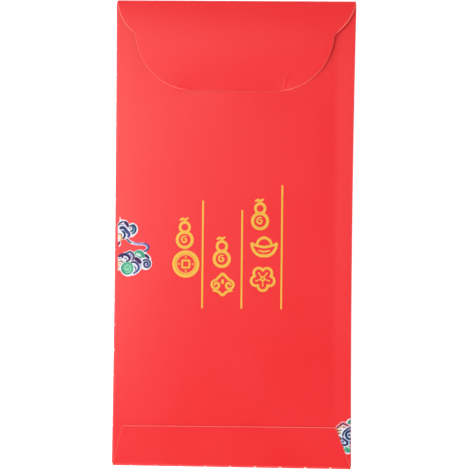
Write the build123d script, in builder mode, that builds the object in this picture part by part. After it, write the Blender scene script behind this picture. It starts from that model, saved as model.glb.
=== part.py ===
# Red gift-money envelope, lying on its front panel with the back in view.
# Millimetres. X is the width, Y the height and Z the thickness. The origin is under the centre.
# One die-cut sheet of card is folded into a flat pocket, glued along one side and the foot, and closed
# by a shaped flap whose tongue is tucked into a slit in the back panel.

import os
from math import cos, radians, sin, tan

from build123d import *

os.makedirs("parts", exist_ok=True)

# Overall size, card and pocket
width = 87.5
height = 170.0
card = 0.3
glue_film = 0.06
pocket_gap = 0.5

# Back panel and its slit
mouth_setback = 1.6
foot_setback = 1.2
free_edge_setback = 0.3
slit_below_top = 33.0
slit_width = 1.1
slit_side_clearance = 2.4

# Side tab and its glue
tab_width = 12.0
tab_end_setback = 2.0
tab_end_taper = 5.0
side_glue_inset = 1.0

# Bottom flap and its glue
bottom_flap_height = 14.8
bottom_flap_taper = 4.5
bottom_flap_corner = 1.0
bottom_glue_inset = 1.2

# Top flap in plan: shoulders down to a notch, then a round lobe, then the tongue
notch_depth = 12.5
notch_half_width = 36.2
notch_fillet = 0.8
shoulder_bow = 1.45
lobe_depth = 32.1
lobe_bow = 4.9
tongue_half_width = 17.6
tongue_length = 4.2
tongue_corner = 3.0

# Top flap from the side: it leaves the crease and meets the slit at the bow angle
flap_lift = 0.2
bow_angle = 6.5
dive_angle = 45.0
dive_bend = 0.6

# Perforated folds
nick_pitch = 9.2
nick_length = 0.6
nick_height = 0.4

# Gold foil rules on the back panel: place across the width, and top end above the centre
foil = 0.03
rule_width = 0.72
rule_foot = -27.0
left_rule_place = -11.1
left_rule_head = 12.1
middle_rule_place = 3.2
middle_rule_head = 8.9
right_rule_place = 17.7
right_rule_head = 18.0

# Levels of the sheets' undersides, from the front panel up
half_card = card / 2
tab_level = card + pocket_gap
back_level = tab_level + card + glue_film
back_top = back_level + card
bottom_flap_level = back_top + glue_film
flap_level = back_top + flap_lift

# A fold turns the card from the front panel's level to another sheet's level, on half of that height
left_turn = back_level / 2
right_turn = tab_level / 2
bottom_turn = bottom_flap_level / 2
top_turn = flap_level / (1 + cos(radians(bow_angle)))

# Lines where the front panel ends and the folds begin
left_line = -width / 2 + left_turn + half_card
right_line = width / 2 - right_turn - half_card
bottom_line = -height / 2 + bottom_turn + half_card
top_line = height / 2 - top_turn - half_card
panel_width = right_line - left_line
panel_height = top_line - bottom_line
panel_middle = (left_line + right_line) / 2


def fold_plane(x, y, outward):
    """Plane square to a fold line at its start, with its own X outward from the pocket and its Y up."""
    return Plane(origin=(x, y, 0), x_dir=outward, z_dir=Vector(outward).cross(Vector(0, 0, 1)))


def turned_card(turn, sweep):
    """Section of the card as it turns up from the front panel through sweep degrees."""
    with BuildLine() as bend:
        CenterArc((0, half_card + turn), turn, -90, sweep)
    trace(bend.line, line_width=card)


# Front panel
with BuildPart() as front_panel:
    with BuildSketch():
        with Locations((left_line, bottom_line)):
            Rectangle(panel_width, panel_height, align=(Align.MIN, Align.MIN))
    extrude(amount=card)

# Back panel: joined to the left fold, free on its other three edges, with the slit for the tongue
back_right = width / 2 - free_edge_setback
back_foot = -height / 2 + foot_setback
back_mouth = height / 2 - mouth_setback
slit_line = height / 2 - slit_below_top
slit_half_length = tongue_half_width + slit_side_clearance
with BuildPart() as back_panel:
    with BuildSketch(Plane.XY.offset(back_level)):
        with Locations((left_line, back_foot)):
            Rectangle(back_right - left_line, back_mouth - back_foot, align=(Align.MIN, Align.MIN))
        with Locations((0, slit_line)):
            Rectangle(2 * slit_half_length, slit_width, align=(Align.CENTER, Align.MIN), mode=Mode.SUBTRACT)
    extrude(amount=card)

# Left fold, perforated at an even pitch so that the card folds cleanly
left_nicks = int(panel_height / nick_pitch)
with BuildPart() as left_fold:
    with BuildSketch(fold_plane(left_line, bottom_line, (-1, 0, 0))):
        turned_card(left_turn, 180)
    extrude(amount=panel_height)
    with Locations((-width / 2, (bottom_line + top_line) / 2, half_card + left_turn)):
        with GridLocations(0, nick_pitch, 1, left_nicks):
            Box(2 * card, nick_length, nick_height, mode=Mode.SUBTRACT)

# Right fold
with BuildPart() as right_fold:
    with BuildSketch(fold_plane(right_line, top_line, (1, 0, 0))):
        turned_card(right_turn, 180)
    extrude(amount=panel_height)

# Side tab, with tapered ends
tab_inner = right_line - tab_width
tab_foot = bottom_line + tab_end_setback
tab_head = top_line - tab_end_setback
with BuildPart() as side_tab:
    with BuildSketch(Plane.XY.offset(tab_level)):
        with BuildLine():
            Polyline(
                (right_line, tab_foot),
                (right_line, tab_head),
                (tab_inner, tab_head - tab_end_taper),
                (tab_inner, tab_foot + tab_end_taper),
                close=True,
            )
        make_face()
    extrude(amount=card)

# Glue between the side tab and the back panel
with BuildPart() as side_glue:
    with BuildSketch(Plane.XY.offset(tab_level + card)):
        with Locations((right_line - side_glue_inset, (tab_foot + tab_head) / 2)):
            Rectangle(
                tab_width - 2 * side_glue_inset,
                tab_head - tab_foot - 2 * tab_end_taper,
                align=(Align.MAX, Align.CENTER),
            )
    extrude(amount=glue_film)

# Bottom fold, perforated like the left one
bottom_nicks = int(panel_width / nick_pitch)
with BuildPart() as bottom_fold:
    with BuildSketch(fold_plane(right_line, bottom_line, (0, -1, 0))):
        turned_card(bottom_turn, 180)
    extrude(amount=panel_width)
    with Locations((panel_middle, -height / 2, half_card + bottom_turn)):
        with GridLocations(nick_pitch, 0, bottom_nicks, 1):
            Box(nick_length, 2 * card, nick_height, mode=Mode.SUBTRACT)

# Bottom flap, tapered towards its free edge
bottom_flap_edge = -height / 2 + bottom_flap_height
with BuildPart() as bottom_flap:
    with BuildSketch(Plane.XY.offset(bottom_flap_level)) as bottom_flap_outline:
        with BuildLine():
            Polyline(
                (left_line, bottom_line),
                (right_line, bottom_line),
                (right_line - bottom_flap_taper, bottom_flap_edge),
                (left_line + bottom_flap_taper, bottom_flap_edge),
                close=True,
            )
        make_face()
        fillet(bottom_flap_outline.vertices().group_by(Axis.Y)[-1], bottom_flap_corner)
    extrude(amount=card)

# Glue between the bottom flap and the back panel
bottom_glue_width = panel_width - 2 * bottom_flap_taper - 2 * bottom_glue_inset
bottom_glue_foot = back_foot + bottom_glue_inset
with BuildPart() as bottom_glue:
    with BuildSketch(Plane.XY.offset(back_top)):
        with Locations((panel_middle, bottom_glue_foot)):
            Rectangle(
                bottom_glue_width,
                bottom_flap_edge - bottom_glue_inset - bottom_glue_foot,
                align=(Align.CENTER, Align.MIN),
            )
    extrude(amount=glue_film)

# Top crease, which turns on until the card rises at the bow angle
with BuildPart() as top_crease:
    with BuildSketch(fold_plane(left_line, top_line, (0, 1, 0))):
        turned_card(top_turn, 180 - bow_angle)
    extrude(amount=panel_width)

# The flap's middle line from the side: up over a bow, down through the middle of the slit at the dive
# angle, and flat again halfway up the pocket
flap_middle = flap_level + half_card
tongue_middle = (card + back_level) / 2
bow_root = top_line + top_turn * sin(radians(bow_angle))
first_bend_run = dive_bend * (sin(radians(dive_angle)) - sin(radians(bow_angle)))
first_bend_drop = dive_bend * (cos(radians(bow_angle)) - cos(radians(dive_angle)))
last_bend_drop = dive_bend * (1 - cos(radians(dive_angle)))
drop_to_slit = flap_middle - (back_level + half_card)
dive_drop = flap_middle - tongue_middle - first_bend_drop - last_bend_drop
dive_length = dive_drop / sin(radians(dive_angle))
run_to_slit = first_bend_run + (drop_to_slit - first_bend_drop) / tan(radians(dive_angle))
bow_end = slit_line + slit_width / 2 + run_to_slit
bow_crown = (bow_root - bow_end) / 2 * tan(radians(bow_angle) / 2)
bow_middle = (bow_root + bow_end) / 2
flap_tip = height / 2 - lobe_depth - tongue_length


def flap_outline():
    """Prism of the flap's outline in plan, from the crease to the tip of the tongue."""
    notch = height / 2 - notch_depth
    lobe = height / 2 - lobe_depth
    with BuildSketch() as outline:
        with BuildLine():
            Line((left_line, bow_root), (left_line, height / 2))
            Line((left_line, height / 2), (right_line, height / 2))
            Line((right_line, height / 2), (right_line, bow_root))
            SagittaArc((right_line, bow_root), (notch_half_width, notch), shoulder_bow)
            SagittaArc((notch_half_width, notch), (tongue_half_width, lobe), lobe_bow)
            Polyline(
                (tongue_half_width, lobe),
                (tongue_half_width, flap_tip),
                (-tongue_half_width, flap_tip),
                (-tongue_half_width, lobe),
            )
            SagittaArc((-tongue_half_width, lobe), (-notch_half_width, notch), lobe_bow)
            SagittaArc((-notch_half_width, notch), (left_line, bow_root), shoulder_bow)
        make_face()
        fillet(outline.vertices().group_by(Axis.Y)[0], tongue_corner)
        notches = outline.vertices().filter_by_position(Axis.Y, notch - card, notch + card)
        fillet(notches, notch_fillet)
    extrude(outline.sketch, amount=height)


# Top flap, from the crease to where it dives into the slit
with BuildPart() as top_flap:
    flap_outline()
    with BuildSketch(Plane.YZ.offset(-width / 2)):
        with BuildLine() as bow:
            ThreePointArc(
                (bow_root, flap_middle),
                (bow_middle, flap_middle + bow_crown),
                (bow_end, flap_middle),
            )
        trace(line_width=card)
    extrude(amount=width, mode=Mode.INTERSECT)

# Flap tongue: the S-bend through the slit and the end that lies in the pocket
with BuildPart() as flap_tongue:
    flap_outline()
    with BuildSketch(Plane.YZ.offset(-width / 2)):
        with BuildLine():
            first_bend = JernArc((bow_end, flap_middle), bow.line % 1, dive_bend, dive_angle - bow_angle)
            dive = PolarLine(first_bend @ 1, dive_length, direction=first_bend % 1)
            last_bend = JernArc(dive @ 1, dive % 1, dive_bend, -dive_angle)
            Line(last_bend @ 1, (flap_tip, tongue_middle))
        trace(line_width=card)
    extrude(amount=width, mode=Mode.INTERSECT)

# Gold foil rules, stamped on the back panel
rule_places = (left_rule_place, middle_rule_place, right_rule_place)
rule_heads = (left_rule_head, middle_rule_head, right_rule_head)
with BuildPart() as gold_rules:
    with BuildSketch(Plane.XY.offset(back_top)):
        for place, head in zip(rule_places, rule_heads):
            with Locations((place, rule_foot)):
                Rectangle(rule_width, head - rule_foot, align=(Align.CENTER, Align.MIN))
    extrude(amount=foil)

# Labels and files, one for each piece
pieces = {
    "front_panel": front_panel,
    "back_panel": back_panel,
    "left_fold": left_fold,
    "right_fold": right_fold,
    "side_tab": side_tab,
    "side_glue": side_glue,
    "bottom_fold": bottom_fold,
    "bottom_flap": bottom_flap,
    "bottom_glue": bottom_glue,
    "top_crease": top_crease,
    "top_flap": top_flap,
    "flap_tongue": flap_tongue,
    "gold_rules": gold_rules,
}
for name, piece in pieces.items():
    piece.part.label = name
    export_step(piece.part, f"parts/{name}.step")
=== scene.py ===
# %% [markdown]
# # A red envelope for gift money
# The envelope lies on its front, with its back and its tucked flap in view. It is one sheet of card, printed,
# die-cut, folded and glued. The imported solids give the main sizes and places, and this lesson dresses them
# as card with a printed face, a bare face and a pale cut edge, and adds the print.

import bmesh
import bpy
import numpy as np
from mathutils import Euler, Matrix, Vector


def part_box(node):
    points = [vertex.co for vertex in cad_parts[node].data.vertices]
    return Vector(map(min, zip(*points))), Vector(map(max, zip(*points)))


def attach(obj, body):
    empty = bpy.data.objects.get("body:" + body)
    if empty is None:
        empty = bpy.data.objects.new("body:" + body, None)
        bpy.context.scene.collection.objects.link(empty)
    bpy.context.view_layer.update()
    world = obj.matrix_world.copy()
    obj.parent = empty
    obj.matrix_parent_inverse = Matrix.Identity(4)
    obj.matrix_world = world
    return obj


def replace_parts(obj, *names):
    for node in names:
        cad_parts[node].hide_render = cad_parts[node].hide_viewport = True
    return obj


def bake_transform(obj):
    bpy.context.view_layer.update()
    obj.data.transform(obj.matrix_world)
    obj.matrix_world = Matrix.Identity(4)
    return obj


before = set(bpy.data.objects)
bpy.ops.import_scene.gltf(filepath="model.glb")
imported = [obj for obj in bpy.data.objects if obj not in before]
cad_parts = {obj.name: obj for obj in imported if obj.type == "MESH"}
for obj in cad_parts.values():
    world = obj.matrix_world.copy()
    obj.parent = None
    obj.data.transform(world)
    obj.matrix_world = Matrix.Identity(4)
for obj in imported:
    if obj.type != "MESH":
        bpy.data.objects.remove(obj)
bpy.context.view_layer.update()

MM = 0.001
print("frame nodes:", ", ".join(sorted(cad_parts)))

# %% [markdown]
# ## Sizes from the frame
# It is tempting to type all sizes again. The main ones are read from the solids instead, so the card lies
# where the solids are. The front panel ends where the folds begin, so its edges are the four fold lines.

# %% Read the sizes, in millimetres
def corners(node_name):
    """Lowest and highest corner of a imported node."""
    low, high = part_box(node_name)
    return np.array(low) / MM, np.array(high) / MM


(LEFT, FOOT, _), (RIGHT, HEAD, CARD) = corners("front_panel")
back_low, back_high = corners("back_panel")
tab_low, tab_high = corners("side_tab")
foot_flap_low, foot_flap_high = corners("bottom_flap")
flap_low = corners("top_flap")[0]
tongue_low = corners("flap_tongue")[0]
HALF_WIDTH = corners("right_fold")[1][0]
HALF_HEIGHT = corners("top_crease")[1][1]
BACK_TOP = back_high[2]
print(f"outline {2 * HALF_WIDTH:.1f} by {2 * HALF_HEIGHT:.1f} mm, card {CARD:.2f} mm")

# %% [markdown]
# ## The camera
# The photograph looks almost straight down through a long lens. A camera can be nudged by eye, but the
# envelope's four corners are easy to read off the picture, so three turns and a place are solved for: guess,
# see by how much each corner misses, and step towards less.

# %% Solve the camera from four corners
IMAGE = 470
SENSOR = 36.0
LENS = 150.0
CORNER_PIXELS = np.array([[116.6, 0.7], [357.0, 1.2], [351.0, 469.2], [111.5, 465.4]])
FOCAL_PIXELS = LENS / SENSOR * IMAGE
START_DISTANCE = LENS / SENSOR * 2 * HALF_HEIGHT
signs = np.array([[-1, 1], [1, 1], [1, -1], [-1, -1]])
corner_points = np.column_stack([signs * (HALF_WIDTH, HALF_HEIGHT), np.full(4, BACK_TOP / 2)])


def seen_at(pose, points):
    """Pixels of points: turned into the camera's axes, then divided by their depth."""
    turn = np.array(Euler(pose[:3]).to_matrix())
    local = (points - pose[3:]) @ turn
    flat = local[:, :2] / -local[:, 2:] * FOCAL_PIXELS
    return IMAGE / 2 + flat * (1, -1)


def new_object(name, data):
    """Object that holds the data, in the scene."""
    made = bpy.data.objects.new(name, data)
    bpy.context.scene.collection.objects.link(made)
    return made


pose = np.array([0, 0, 0, 0, 0, START_DISTANCE], float)
NUDGE = 1e-3
TRIES = 12
for _ in range(TRIES):
    now = seen_at(pose, corner_points)
    slopes = [(seen_at(pose + nudge, corner_points) - now).ravel() / NUDGE for nudge in np.eye(6) * NUDGE]
    step = np.linalg.lstsq(np.column_stack(slopes), (CORNER_PIXELS - now).ravel(), rcond=None)[0]
    pose = pose + step

camera = new_object("camera", bpy.data.cameras.new("camera"))
camera.data.lens = LENS
camera.data.sensor_width = SENSOR
camera.data.clip_end = 20
camera.rotation_euler = Euler(pose[:3])
camera.location = pose[3:] * MM
bpy.context.scene.camera = camera
miss = np.abs(seen_at(pose, corner_points) - CORNER_PIXELS).max()
print(f"camera {pose[5]:.0f} mm up, turned {np.degrees(pose[:3]).round(2)} degrees, misses by {miss:.2f} px")

# %% [markdown]
# ## How an empty envelope lies
# Folded card springs open a little. Halfway up, the side folds are rounder, so the back panel stands up in a
# shallow pillow and both sides are drawn in by about half a millimetre. Every piece is worked out flat, where
# the solids are, and one function then settles all of them, so that neighbours stay together.

# %% Pillow and drawn-in sides
PILLOW_RISE = 1.5
LEFT_RISE = 0.8
RIGHT_RISE = 1.42
TAB_RISE = 0.33
TAB_REACH = 6.6
FOOT_PRESS = 0.35
FOOT_REACH = 16.0
LEFT_DRAW = 0.45
RIGHT_DRAW = 0.6


def stacked(*axes):
    """Points from their coordinates, which are spread over one shape."""
    return np.stack(np.broadcast_arrays(*axes), axis=-1)


def along_share(y, power=2):
    """Share that falls from 1 halfway up to 0 at the head and the foot, by a power of the place."""
    return np.clip(1 - (y / HEAD) ** power, 0, 1)


def pillow(x, y):
    """Rise of the back panel: flat in the middle, falling to a side rise by the fourth power, with an even
    slope up over the glued tab and one down to the foot, which the bottom flap stiffens."""
    sides = np.where(x < 0, LEFT_RISE, RIGHT_RISE)
    across = sides + (PILLOW_RISE - sides) * (1 - np.abs(x / HALF_WIDTH) ** 4)
    over_tab = TAB_RISE * np.clip(1 - (HALF_WIDTH - x) / TAB_REACH, 0, 1) * along_share(y, 6)
    pressed = FOOT_PRESS * np.clip(1 - (y - FOOT) / FOOT_REACH, 0, 1)
    return across * along_share(y) + over_tab - pressed


def settle(points, lift=None):
    """Points as the card lies: up with the pillow, in full from the side tab upwards and not at all in the
    front panel, and inwards by the cube of the distance from the middle."""
    x, y, z = np.moveaxis(points, -1, 0)
    share = np.clip((z - CARD) / (tab_low[2] - CARD), 0, 1) if lift is None else lift
    draw = np.where(x < 0, LEFT_DRAW, RIGHT_DRAW) * along_share(y)
    x_in = x * (1 - draw / HALF_WIDTH * (x / HALF_WIDTH) ** 2)
    return stacked(x_in, y, z + share * pillow(x, y))


print(f"pillow {pillow(0.0, 0.0):.2f} mm in the middle, {pillow(HALF_WIDTH, 0.0):.2f} mm at the sides")

# %% [markdown]
# ## Colours and a shared grain
# Screens show colours on a curve, and Blender works in linear light, so colours are written as they look and
# straightened by one helper. Card, ink and foil show the same fibre: a node group, placed in each material
# with scales of its own, puts out a height for the bump, a mottle for the colour and a drift for the gloss.

# %% Helpers for nodes and the grain group
def paint(red, green, blue):
    """Linear colour, with alpha, of a colour written as it looks on a screen from 0 to 255."""
    shown = np.array([red, green, blue]) / 255
    linear = np.where(shown <= 0.04045, shown / 12.92, ((shown + 0.055) / 1.055) ** 2.4)
    return (*linear.tolist(), 1.0)


def put(tree, inlet, value):
    """Link an input to a socket, or set it to a plain value."""
    if isinstance(value, bpy.types.NodeSocket):
        tree.links.new(value, inlet)
    else:
        inlet.default_value = value


def feed(tree, target, inputs):
    """Put values and sockets into the named inputs of a node."""
    for key, value in inputs.items():
        put(tree, target.inputs[key.replace("_", " ")], value)


def node(tree, kind, settings=None, **inputs):
    """New shader node with its settings, and with the named inputs set or linked."""
    made = tree.nodes.new("ShaderNode" + kind)
    for key, value in (settings or {}).items():
        setattr(made, key, value)
    feed(tree, made, inputs)
    return made


def maths(tree, operation, *values):
    """Output of one operation on values and sockets."""
    made = node(tree, "Math", {"operation": operation})
    for inlet, value in zip(made.inputs, values):
        put(tree, inlet, value)
    return made.outputs["Value"]


def mixed(tree, share, first, second, way="MIX"):
    """Colour that goes from the first to the second colour by a share."""
    settings = {"data_type": "RGBA", "blend_type": way}
    return node(tree, "Mix", settings, Factor=share, A=first, B=second).outputs["Result"]


def card_grain():
    """Group of three noises: a coarse mottle, a fine fibre stretched along the sheet, and a slow drift."""
    tree = bpy.data.node_groups.new("card_grain", "ShaderNodeTree")
    for label, kind in (("Vector", "Vector"), ("Mottle Scale", "Float"), ("Fibre Scale", "Float")):
        tree.interface.new_socket(label, in_out="INPUT", socket_type="NodeSocket" + kind)
    for label in ("Mottle", "Height", "Drift"):
        tree.interface.new_socket(label, in_out="OUTPUT", socket_type="NodeSocketFloat")
    place, coarse, fine = tree.nodes.new("NodeGroupInput").outputs[:3]
    mottle = node(tree, "TexNoise", Vector=place, Scale=coarse, Detail=3.0, Roughness=0.65)
    along = node(tree, "Mapping", Vector=place, Scale=(1.0, 0.35, 1.0)).outputs["Vector"]
    rough = {"Detail": 2.0, "Roughness": 0.6, "Distortion": 0.6}
    fibre = node(tree, "TexNoise", Vector=along, Scale=fine, **rough)
    drift = node(tree, "TexNoise", Vector=place, Scale=38.0, Detail=2.0)
    height = maths(tree, "MULTIPLY_ADD", fibre.outputs["Fac"], 0.45, mottle.outputs["Fac"])
    results = {"Mottle": mottle.outputs["Fac"], "Height": height, "Drift": drift.outputs["Fac"]}
    feed(tree, tree.nodes.new("NodeGroupOutput"), results)
    return tree


CARD_GRAIN = card_grain()
print("group", CARD_GRAIN.name, "has", len(CARD_GRAIN.nodes), "nodes")

# %% [markdown]
# ## The finishes
# The printed face has a thin satin varnish, whose soft sheen is broken up by the fibre. The bare face is
# uncoated off-white, and the cut edge shows that core, stained a little by the ink. Each finish is a
# Principled shader whose colour, roughness and bump come from the grain, so none is flat.

# %% How a finish is made, and the card's three
NOISE_RANGE = {"From_Min": 0.3, "From_Max": 0.7}
CORE_LIGHT = paint(255, 232, 196)


def finish(name, tones, scales, rough, bump, worn=None, colours=None, **shader):
    """Material: colour between two tones by the mottle, roughness between two values by the drift, a bump.
    worn names a point attribute that lets a pale core through, colours one that holds the ink's colour."""
    material = bpy.data.materials.new(name)
    material.use_nodes = True
    tree = material.node_tree
    place = node(tree, "TexCoord").outputs["Object"]
    coarse, fine = scales
    sizes = {"Mottle_Scale": coarse, "Fibre_Scale": fine}
    grain = node(tree, "Group", {"node_tree": CARD_GRAIN}, Vector=place, **sizes).outputs
    contrast = node(tree, "MapRange", Value=grain["Mottle"], **NOISE_RANGE)
    colour = mixed(tree, contrast.outputs["Result"], *tones)
    if colours:
        ink = node(tree, "Attribute", {"attribute_name": colours})
        colour = mixed(tree, 1.0, ink.outputs["Color"], colour, "MULTIPLY")
    if worn:
        rubbed = node(tree, "Attribute", {"attribute_name": worn})
        colour = mixed(tree, rubbed.outputs["Fac"], colour, CORE_LIGHT)
    ends = {"To_Min": rough[0], "To_Max": rough[1]}
    gloss = node(tree, "MapRange", Value=grain["Drift"], **NOISE_RANGE, **ends)
    relief = node(tree, "Bump", Strength=1.0, Distance=bump * MM, Height=grain["Height"])
    looks = {"Base_Color": colour, "Roughness": gloss.outputs["Result"], "Normal": relief.outputs["Normal"]}
    feed(tree, tree.nodes["Principled BSDF"], shader | looks)
    return material


RED_TONES = paint(250, 4, 16), paint(255, 8, 22)
BARE_TONES = paint(236, 228, 214), paint(246, 240, 229)
EDGE_TONES = paint(252, 104, 102), paint(255, 138, 132)
VARNISH = 0.9
printed = {"worn": "rub", "Specular_IOR_Level": VARNISH}
red_print = finish("red_print", RED_TONES, (2400, 5200), (0.36, 0.42), 0.007, **printed)
bare_card = finish("bare_card", BARE_TONES, (1500, 5200), (0.78, 0.9), 0.02)
cut_edge = finish("cut_edge", EDGE_TONES, (3200, 6000), (0.8, 0.92), 0.02)
CARD_FINISHES = (red_print, bare_card, cut_edge)
print("finishes:", [made.name for made in CARD_FINISHES])

# %% [markdown]
# ## Card from a middle surface
# A plane with a Solidify modifier would be card too, but its rim would be the same at a cut as at a fold.
# Here a grid of points is the card's middle: one copy is pushed half a thickness out, one in, and a rim joins
# them. A blade leaves the printed side of a cut drawn in, so the pale core shows there as a thin line.

# %% Grids, card and pieces
PRINTED, BARE, CUT = 0, 1, 2
PALE_FROM_SHARE = 0.5
CUT_SLOPE = 0.16
BACK_SLOPE = 0.04
SHARP_ANGLE = np.radians(32)


def grid_faces(rows, columns):
    """Squares of a grid of points: each point joined to the next in its row and in the row after."""
    corner = np.arange(rows - 1)[:, None] * columns + np.arange(columns - 1)
    return stacked(corner, corner + 1, corner + columns + 1, corner + columns).reshape(-1, 4)


def unit(vectors):
    """Vectors scaled to a length of one."""
    return vectors / np.linalg.norm(vectors, axis=-1, keepdims=True)


def rim_of(grid):
    """The grid's outer points in order: along the first row, up, back along the last row and down."""
    return np.concatenate([grid[0, :-1], grid[:-1, -1], grid[-1, :0:-1], grid[:0:-1, 0]])


def side_moves(line, outward, share):
    """Moves of a side's points to its left, level and square to it, as long as the share."""
    share = share.copy()
    share[[0, -1]] = np.minimum(share[[0, -1]], share[[1, -2]])
    aside = np.cross(outward, np.gradient(line, axis=0))
    aside[:, 2] = 0
    return unit(aside) * share[:, None]


def drawn_in(middle, outward, cut):
    """Moves of a grid whose four sides are drawn in: those of facing sides, mixed evenly between them, and
    both pairs added."""
    v = np.linspace(0, 1, len(middle))[:, None, None]
    u = np.linspace(0, 1, middle.shape[1])[None, :, None]
    first, last = (side_moves(middle[end], outward[end], cut[end]) for end in (0, -1))
    left, right = (side_moves(middle[:, end], outward[:, end], cut[:, end])[:, None] for end in (0, -1))
    return (1 - v) * first - v * last + u * right - (1 - u) * left


def card_shell(middle, outward, cut=0.0, thick=CARD):
    """Points, faces and finish numbers of closed card: middle plus and minus half a thickness along the
    outward direction, and a rim of two strips, which slopes in by the share that cut gives."""
    rows, columns = middle.shape[:2]
    outward, cut = np.broadcast_to(outward, middle.shape), np.broadcast_to(cut, (rows, columns))
    count = rows * columns
    moves = drawn_in(middle, outward, cut).reshape(-1, 3)
    rim = rim_of(np.arange(count).reshape(rows, columns))
    middle, outward = middle.reshape(-1, 3), outward.reshape(-1, 3)
    share = rim_of(cut)
    share = np.minimum(share, np.roll(share, -1))
    outside = middle + outward * thick / 2 + moves * CUT_SLOPE
    inside = middle - outward * thick / 2 + moves * BACK_SLOPE
    edge = middle[rim] + outward[rim] * thick / 6
    strip = 2 * count + np.arange(len(rim))
    next_rim, next_strip = np.roll(rim, -1), np.roll(strip, -1)
    upper = stacked(rim, strip, next_strip, next_rim)
    lower = stacked(strip, rim + count, next_rim + count, next_strip)
    squares = grid_faces(rows, columns)
    faces = np.concatenate([squares, squares[:, ::-1] + count, upper, lower])
    rim_finish = np.select([share > PALE_FROM_SHARE, share > 0], [CUT, PRINTED], BARE)
    finishes = np.concatenate([np.repeat([PRINTED, BARE], len(squares)), rim_finish, rim_finish])
    return np.concatenate([outside, inside, edge]), faces, finishes


def join(shells):
    """Several shells as one: their points in a row, and each shell's faces counted on from the last."""
    starts = np.cumsum([0] + [len(points) for points, _, _ in shells[:-1]])
    faces = np.concatenate([faces + start for (_, faces, _), start in zip(shells, starts)])
    return np.concatenate([s[0] for s in shells]), faces, np.concatenate([s[2] for s in shells])


def add_piece(name, shell, finishes=CARD_FINISHES, body="pocket", lift=None, rub=None):
    """Object of a shell whose points are in millimetres and still flat: settled, smooth, sharp at its rim."""
    points, faces, numbers = shell
    mesh = bpy.data.meshes.new(name)
    mesh.from_pydata((settle(points, lift) * MM).tolist(), [], faces.tolist())
    for material in finishes:
        mesh.materials.append(material)
    mesh.polygons.foreach_set("material_index", numbers)
    mesh.polygons.foreach_set("use_smooth", np.ones(len(faces), bool))
    if rub is not None:
        mesh.attributes.new("rub", "FLOAT", "POINT").data.foreach_set("value", rub.astype(np.float32))
    mesh.set_sharp_from_angle(angle=SHARP_ANGLE)
    mesh.update()
    piece = new_object(name, mesh)
    if body:
        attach(piece, body)
    print(f"{name}: {len(points)} points, {len(faces)} faces")
    return piece


print(f"card {CARD:.2f} mm thick; a full cut is drawn in by {CUT_SLOPE} mm")

# %% [markdown]
# ## The front panel and the side tab
# Flat pieces of the sheet are height surfaces: a grid of places in plan and one level. The front panel's
# printed face looks down, so its columns run the other way and its faces still point outwards.

# %% Flat sheets
UP = np.array([0.0, 0.0, 1.0])


def edges_cut(rows, columns, first=0, last=0, left=0, right=0):
    """Grid that is 1 along the edges that a blade has cut and 0 where the card goes on into a fold."""
    cut = np.zeros((rows, columns))
    cut[0], cut[-1] = first, last
    cut[:, 0] = np.maximum(cut[:, 0], left)
    cut[:, -1] = np.maximum(cut[:, -1], right)
    return cut


ROWS, COLUMNS = 81, 49
front_middle = stacked(np.linspace(RIGHT, LEFT, COLUMNS), np.linspace(FOOT, HEAD, ROWS)[:, None], CARD / 2)
front = add_piece("front_panel_card", card_shell(front_middle, -UP))
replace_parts(front, "front_panel")

# %% Side tab, with tapered ends
TAB_TAPER = 5.0
inner_share = np.linspace(1, 0, COLUMNS)
tab_x = tab_high[0] - (tab_high[0] - tab_low[0]) * inner_share
tab_along = np.linspace(0, 1, ROWS)[:, None]
tab_y = tab_low[1] + TAB_TAPER * inner_share
tab_y = tab_y + tab_along * (tab_high[1] - TAB_TAPER * inner_share - tab_y)
tab_middle = stacked(tab_x, tab_y, (tab_low[2] + tab_high[2]) / 2)
tab_cut = edges_cut(ROWS, COLUMNS, first=1, last=1, left=1)
tab = add_piece("side_tab_card", card_shell(tab_middle, UP, tab_cut))
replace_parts(tab, "side_tab")

# %% [markdown]
# ## The back panel and its slit
# The flap's tongue parts the slit: the lip below is pushed up and the lip above is pressed down, most at the
# slit and dying away over a centimetre or so. The panel is two grids that meet along the slit's line. Beyond
# its ends they share that line, so no seam shows, and between them the lips have a cut edge each.

# %% Back panel
SLIT_BELOW_TOP = 32.95
SLIT_HALF = 18.0
LIP_RISE = 0.2
RISE_REACH = 8.0
RISE_ACROSS = 14.0
LIP_FALL = 0.65
FALL_REACH = 5.0
END_POWER = 24
END_DIP = 0.2
END_REACH = 2.5
DIP_OUT = 0.5
DIP_UP = 1.2
DIP_TALL = 1.5
NEAR_SLIT = 6
FINE_BAND = (14, 23)
LEAST_STEP = 0.05
HAIR = 1e-6
SLIT_CUT = 0.7
LEAST_CUT = 0.01
FREE_EDGE_CUT = 0.2
FLAP_SHIFT = -0.3
slit_y = HALF_HEIGHT - SLIT_BELOW_TOP


def smooth(share):
    """Smooth step from 0 to 1: three times the square less twice the cube."""
    share = np.clip(share, 0, 1)
    return share * share * (3 - 2 * share)


def slit_open(x):
    """How far the slit stands open: 1 over the tongue and falling to 0 at the slit's ends by a high power."""
    return np.clip(1 - np.abs((x - FLAP_SHIFT) / SLIT_HALF) ** END_POWER, 0, 1)


def lip(x, y):
    """Height of the panel round the slit: a wide low bell where the tongue lifts it, a deep bell down of the
    upper lip, which the flap hides, and a small dip where the flap's lobes press on the slit's ends."""
    away = y - slit_y
    rise = LIP_RISE * np.exp(-(((x - FLAP_SHIFT) / RISE_ACROSS) ** 2) - (away / RISE_REACH) ** 2)
    fall = LIP_FALL * np.exp(-((away / FALL_REACH) ** 2)) * slit_open(x) * (y >= slit_y)
    from_end = (np.abs(x - FLAP_SHIFT) - SLIT_HALF - DIP_OUT) / END_REACH
    dip = END_DIP * np.exp(-(from_end**2) - ((away - DIP_UP) / DIP_TALL) ** 2)
    return rise - fall - dip


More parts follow.
